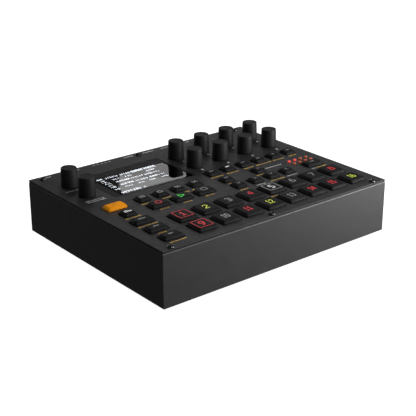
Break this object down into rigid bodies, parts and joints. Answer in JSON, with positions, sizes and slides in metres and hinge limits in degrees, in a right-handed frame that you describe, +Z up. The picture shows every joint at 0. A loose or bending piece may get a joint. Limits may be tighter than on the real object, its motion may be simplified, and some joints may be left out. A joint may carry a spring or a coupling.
{
  "type": "drum machine",
  "caption": "Desktop drum machine: low black steel case with square step keys, small keys, plain knobs, lamps and a display window, sockets at the rear.",
  "frame": {"origin": "on the table under the middle of the outline, rear sockets included", "axes": "+X to the player's right, +Y to the rear sockets, +Z up"},
  "size_m": [0.215, 0.176, 0.063],
  "materials": {
    "case_paint": "fine matte powder coat, near black",
    "panel_paint": "fine matte powder coat with printed marks",
    "key_plastic": "matte moulded plastic, legends lit from behind",
    "orange_key": "matte moulded plastic, orange",
    "knob_plastic": "matte soft-touch plastic",
    "bezel_plastic": "satin moulded plastic",
    "display_glass": "polished display glass",
    "circuit_board": "solder-resist coated laminate with moulded components",
    "socket_plastic": "black moulded plastic",
    "screw_steel": "black oxide",
    "foot_rubber": "matte rubber",
    "button_plastic": "moulded plastic"
  },
  "bodies": {
    "case": {"chassis": "case_paint", "top_panel": "panel_paint", "display_bezel": "bezel_plastic", "display_glass": "display_glass", "circuit_board": "circuit_board", "rear_connectors": "socket_plastic", "panel_screws": "screw_steel", "rubber_feet": "foot_rubber"},
    "step_key_1": {"step_key_1": "key_plastic"},
    "step_key_2": {"step_key_2": "key_plastic"},
    "step_key_3": {"step_key_3": "key_plastic"},
    "step_key_4": {"step_key_4": "key_plastic"},
    "step_key_5": {"step_key_5": "key_plastic"},
    "step_key_6": {"step_key_6": "key_plastic"},
    "step_key_7": {"step_key_7": "key_plastic"},
    "step_key_8": {"step_key_8": "key_plastic"},
    "step_key_9": {"step_key_9": "key_plastic"},
    "step_key_10": {"step_key_10": "key_plastic"},
    "step_key_11": {"step_key_11": "key_plastic"},
    "step_key_12": {"step_key_12": "key_plastic"},
    "step_key_13": {"step_key_13": "key_plastic"},
    "step_key_14": {"step_key_14": "key_plastic"},
    "step_key_15": {"step_key_15": "key_plastic"},
    "step_key_16": {"step_key_16": "key_plastic"},
    "track_key": {"track_key": "key_plastic"},
    "pattern_key": {"pattern_key": "key_plastic"},
    "song_key": {"song_key": "key_plastic"},
    "mixer_key": {"mixer_key": "key_plastic"},
    "function_key": {"function_key": "orange_key"},
    "record_key": {"record_key": "key_plastic"},
    "play_key": {"play_key": "key_plastic"},
    "stop_key": {"stop_key": "key_plastic"},
    "mode_key_1": {"mode_key_1": "key_plastic"},
    "mode_key_2": {"mode_key_2": "key_plastic"},
    "mode_key_3": {"mode_key_3": "key_plastic"},
    "mode_key_4": {"mode_key_4": "key_plastic"},
    "no_key": {"no_key": "key_plastic"},
    "arrow_left_key": {"arrow_left_key": "key_plastic"},
    "arrow_down_key": {"arrow_down_key": "key_plastic"},
    "arrow_right_key": {"arrow_right_key": "key_plastic"},
    "yes_key": {"yes_key": "key_plastic"},
    "arrow_up_key": {"arrow_up_key": "key_plastic"},
    "parameter_key_1": {"parameter_key_1": "key_plastic"},
    "parameter_key_2": {"parameter_key_2": "key_plastic"},
    "parameter_key_3": {"parameter_key_3": "key_plastic"},
    "parameter_key_4": {"parameter_key_4": "key_plastic"},
    "parameter_key_5": {"parameter_key_5": "key_plastic"},
    "parameter_key_6": {"parameter_key_6": "key_plastic"},
    "page_key": {"page_key": "key_plastic"},
    "data_knob_1": {"data_knob_1": "knob_plastic"},
    "data_knob_2": {"data_knob_2": "knob_plastic"},
    "data_knob_3": {"data_knob_3": "knob_plastic"},
    "data_knob_4": {"data_knob_4": "knob_plastic"},
    "data_knob_5": {"data_knob_5": "knob_plastic"},
    "data_knob_6": {"data_knob_6": "knob_plastic"},
    "data_knob_7": {"data_knob_7": "knob_plastic"},
    "data_knob_8": {"data_knob_8": "knob_plastic"},
    "volume_knob": {"volume_knob": "knob_plastic"},
    "level_knob": {"level_knob": "knob_plastic"},
    "power_button": {"power_button": "button_plastic"}
  },
  "joints": [
    {"name": "step_key_1_press", "type": "slide", "parent": "case", "child": "step_key_1", "axis": [0, 0, -1], "range_m": [0, 0.0006], "stiffness_N_per_m": 300, "springref_m": -0.002},
    {"name": "step_key_2_press", "type": "slide", "parent": "case", "child": "step_key_2", "axis": [0, 0, -1], "range_m": [0, 0.0006], "stiffness_N_per_m": 300, "springref_m": -0.002},
    {"name": "step_key_3_press", "type": "slide", "parent": "case", "child": "step_key_3", "axis": [0, 0, -1], "range_m": [0, 0.0006], "stiffness_N_per_m": 300, "springref_m": -0.002},
    {"name": "step_key_4_press", "type": "slide", "parent": "case", "child": "step_key_4", "axis": [0, 0, -1], "range_m": [0, 0.0006], "stiffness_N_per_m": 300, "springref_m": -0.002},
    {"name": "step_key_5_press", "type": "slide", "parent": "case", "child": "step_key_5", "axis": [0, 0, -1], "range_m": [0, 0.0006], "stiffness_N_per_m": 300, "springref_m": -0.002},
    {"name": "step_key_6_press", "type": "slide", "parent": "case", "child": "step_key_6", "axis": [0, 0, -1], "range_m": [0, 0.0006], "stiffness_N_per_m": 300, "springref_m": -0.002},
    {"name": "step_key_7_press", "type": "slide", "parent": "case", "child": "step_key_7", "axis": [0, 0, -1], "range_m": [0, 0.0006], "stiffness_N_per_m": 300, "springref_m": -0.002},
    {"name": "step_key_8_press", "type": "slide", "parent": "case", "child": "step_key_8", "axis": [0, 0, -1], "range_m": [0, 0.0006], "stiffness_N_per_m": 300, "springref_m": -0.002},
    {"name": "step_key_9_press", "type": "slide", "parent": "case", "child": "step_key_9", "axis": [0, 0, -1], "range_m": [0, 0.0006], "stiffness_N_per_m": 300, "springref_m": -0.002},
    {"name": "step_key_10_press", "type": "slide", "parent": "case", "child": "step_key_10", "axis": [0, 0, -1], "range_m": [0, 0.0006], "stiffness_N_per_m": 300, "springref_m": -0.002},
    {"name": "step_key_11_press", "type": "slide", "parent": "case", "child": "step_key_11", "axis": [0, 0, -1], "range_m": [0, 0.0006], "stiffness_N_per_m": 300, "springref_m": -0.002},
    {"name": "step_key_12_press", "type": "slide", "parent": "case", "child": "step_key_12", "axis": [0, 0, -1], "range_m": [0, 0.0006], "stiffness_N_per_m": 300, "springref_m": -0.002},
    {"name": "step_key_13_press", "type": "slide", "parent": "case", "child": "step_key_13", "axis": [0, 0, -1], "range_m": [0, 0.0006], "stiffness_N_per_m": 300, "springref_m": -0.002},
    {"name": "step_key_14_press", "type": "slide", "parent": "case", "child": "step_key_14", "axis": [0, 0, -1], "range_m": [0, 0.0006], "stiffness_N_per_m": 300, "springref_m": -0.002},
    {"name": "step_key_15_press", "type": "slide", "parent": "case", "child": "step_key_15", "axis": [0, 0, -1], "range_m": [0, 0.0006], "stiffness_N_per_m": 300, "springref_m": -0.002},
    {"name": "step_key_16_press", "type": "slide", "parent": "case", "child": "step_key_16", "axis": [0, 0, -1], "range_m": [0, 0.0006], "stiffness_N_per_m": 300, "springref_m": -0.002},
    {"name": "track_key_press", "type": "slide", "parent": "case", "child": "track_key", "axis": [0, 0, -1], "range_m": [0, 0.0006], "stiffness_N_per_m": 300, "springref_m": -0.002},
    {"name": "pattern_key_press", "type": "slide", "parent": "case", "child": "pattern_key", "axis": [0, 0, -1], "range_m": [0, 0.0006], "stiffness_N_per_m": 300, "springref_m": -0.002},
    {"name": "song_key_press", "type": "slide", "parent": "case", "child": "song_key", "axis": [0, 0, -1], "range_m": [0, 0.0006], "stiffness_N_per_m": 300, "springref_m": -0.002},
    {"name": "mixer_key_press", "type": "slide", "parent": "case", "child": "mixer_key", "axis": [0, 0, -1], "range_m": [0, 0.0006], "stiffness_N_per_m": 300, "springref_m": -0.002},
    {"name": "function_key_press", "type": "slide", "parent": "case", "child": "function_key", "axis": [0, 0, -1], "range_m": [0, 0.0006], "stiffness_N_per_m": 300, "springref_m": -0.002},
    {"name": "record_key_press", "type": "slide", "parent": "case", "child": "record_key", "axis": [0, 0, -1], "range_m": [0, 0.0006], "stiffness_N_per_m": 300, "springref_m": -0.002},
    {"name": "play_key_press", "type": "slide", "parent": "case", "child": "play_key", "axis": [0, 0, -1], "range_m": [0, 0.0006], "stiffness_N_per_m": 300, "springref_m": -0.002},
    {"name": "stop_key_press", "type": "slide", "parent": "case", "child": "stop_key", "axis": [0, 0, -1], "range_m": [0, 0.0006], "stiffness_N_per_m": 300, "springref_m": -0.002},
    {"name": "mode_key_1_press", "type": "slide", "parent": "case", "child": "mode_key_1", "axis": [0, 0, -1], "range_m": [0, 0.0006], "stiffness_N_per_m": 300, "springref_m": -0.002},
    {"name": "mode_key_2_press", "type": "slide", "parent": "case", "child": "mode_key_2", "axis": [0, 0, -1], "range_m": [0, 0.0006], "stiffness_N_per_m": 300, "springref_m": -0.002},
    {"name": "mode_key_3_press", "type": "slide", "parent": "case", "child": "mode_key_3", "axis": [0, 0, -1], "range_m": [0, 0.0006], "stiffness_N_per_m": 300, "springref_m": -0.002},
    {"name": "mode_key_4_press", "type": "slide", "parent": "case", "child": "mode_key_4", "axis": [0, 0, -1], "range_m": [0, 0.0006], "stiffness_N_per_m": 300, "springref_m": -0.002},
    {"name": "no_key_press", "type": "slide", "parent": "case", "child": "no_key", "axis": [0, 0, -1], "range_m": [0, 0.0006], "stiffness_N_per_m": 300, "springref_m": -0.002},
    {"name": "arrow_left_key_press", "type": "slide", "parent": "case", "child": "arrow_left_key", "axis": [0, 0, -1], "range_m": [0, 0.0006], "stiffness_N_per_m": 300, "springref_m": -0.002},
    {"name": "arrow_down_key_press", "type": "slide", "parent": "case", "child": "arrow_down_key", "axis": [0, 0, -1], "range_m": [0, 0.0006], "stiffness_N_per_m": 300, "springref_m": -0.002},
    {"name": "arrow_right_key_press", "type": "slide", "parent": "case", "child": "arrow_right_key", "axis": [0, 0, -1], "range_m": [0, 0.0006], "stiffness_N_per_m": 300, "springref_m": -0.002},
    {"name": "yes_key_press", "type": "slide", "parent": "case", "child": "yes_key", "axis": [0, 0, -1], "range_m": [0, 0.0006], "stiffness_N_per_m": 300, "springref_m": -0.002},
    {"name": "arrow_up_key_press", "type": "slide", "parent": "case", "child": "arrow_up_key", "axis": [0, 0, -1], "range_m": [0, 0.0006], "stiffness_N_per_m": 300, "springref_m": -0.002},
    {"name": "parameter_key_1_press", "type": "slide", "parent": "case", "child": "parameter_key_1", "axis": [0, 0, -1], "range_m": [0, 0.0006], "stiffness_N_per_m": 300, "springref_m": -0.002},
    {"name": "parameter_key_2_press", "type": "slide", "parent": "case", "child": "parameter_key_2", "axis": [0, 0, -1], "range_m": [0, 0.0006], "stiffness_N_per_m": 300, "springref_m": -0.002},
    {"name": "parameter_key_3_press", "type": "slide", "parent": "case", "child": "parameter_key_3", "axis": [0, 0, -1], "range_m": [0, 0.0006], "stiffness_N_per_m": 300, "springref_m": -0.002},
    {"name": "parameter_key_4_press", "type": "slide", "parent": "case", "child": "parameter_key_4", "axis": [0, 0, -1], "range_m": [0, 0.0006], "stiffness_N_per_m": 300, "springref_m": -0.002},
    {"name": "parameter_key_5_press", "type": "slide", "parent": "case", "child": "parameter_key_5", "axis": [0, 0, -1], "range_m": [0, 0.0006], "stiffness_N_per_m": 300, "springref_m": -0.002},
    {"name": "parameter_key_6_press", "type": "slide", "parent": "case", "child": "parameter_key_6", "axis": [0, 0, -1], "range_m": [0, 0.0006], "stiffness_N_per_m": 300, "springref_m": -0.002},
    {"name": "page_key_press", "type": "slide", "parent": "case", "child": "page_key", "axis": [0, 0, -1], "range_m": [0, 0.0006], "stiffness_N_per_m": 300, "springref_m": -0.002},
    {"name": "data_knob_1_turn", "type": "hinge", "parent": "case", "child": "data_knob_1", "pos_m": [0.0116, 0.0537, 0.048], "axis": [0, 0, 1], "continuous": true},
    {"name": "data_knob_2_turn", "type": "hinge", "parent": "case", "child": "data_knob_2", "pos_m": [0.0381, 0.0537, 0.048], "axis": [0, 0, 1], "continuous": true},
    {"name": "data_knob_3_turn", "type": "hinge", "parent": "case", "child": "data_knob_3", "pos_m": [0.0646, 0.0537, 0.048], "axis": [0, 0, 1], "continuous": true},
    {"name": "data_knob_4_turn", "type": "hinge", "parent": "case", "child": "data_knob_4", "pos_m": [0.0911, 0.0537, 0.048], "axis": [0, 0, 1], "continuous": true},
    {"name": "data_knob_5_turn", "type": "hinge", "parent": "case", "child": "data_knob_5", "pos_m": [0.0116, 0.0292, 0.048], "axis": [0, 0, 1], "continuous": true},
    {"name": "data_knob_6_turn", "type": "hinge", "parent": "case", "child": "data_knob_6", "pos_m": [0.0381, 0.0292, 0.048], "axis": [0, 0, 1], "continuous": true},
    {"name": "data_knob_7_turn", "type": "hinge", "parent": "case", "child": "data_knob_7", "pos_m": [0.0646, 0.0292, 0.048], "axis": [0, 0, 1], "continuous": true},
    {"name": "data_knob_8_turn", "type": "hinge", "parent": "case", "child": "data_knob_8", "pos_m": [0.0911, 0.0292, 0.048], "axis": [0, 0, 1], "continuous": true},
    {"name": "volume_knob_turn", "type": "hinge", "parent": "case", "child": "volume_knob", "pos_m": [-0.0901, 0.0537, 0.048], "axis": [0, 0, 1], "range_deg": [-150, 150]},
    {"name": "level_knob_turn", "type": "hinge", "parent": "case", "child": "level_knob", "pos_m": [-0.0901, 0.0292, 0.048], "axis": [0, 0, 1], "continuous": true},
    {"name": "power_button_press", "type": "slide", "parent": "case", "child": "power_button", "axis": [0, -1, 0], "range_m": [0, 0.0025], "stiffness_N_per_m": 200, "springref_m": -0.004}
  ]
}
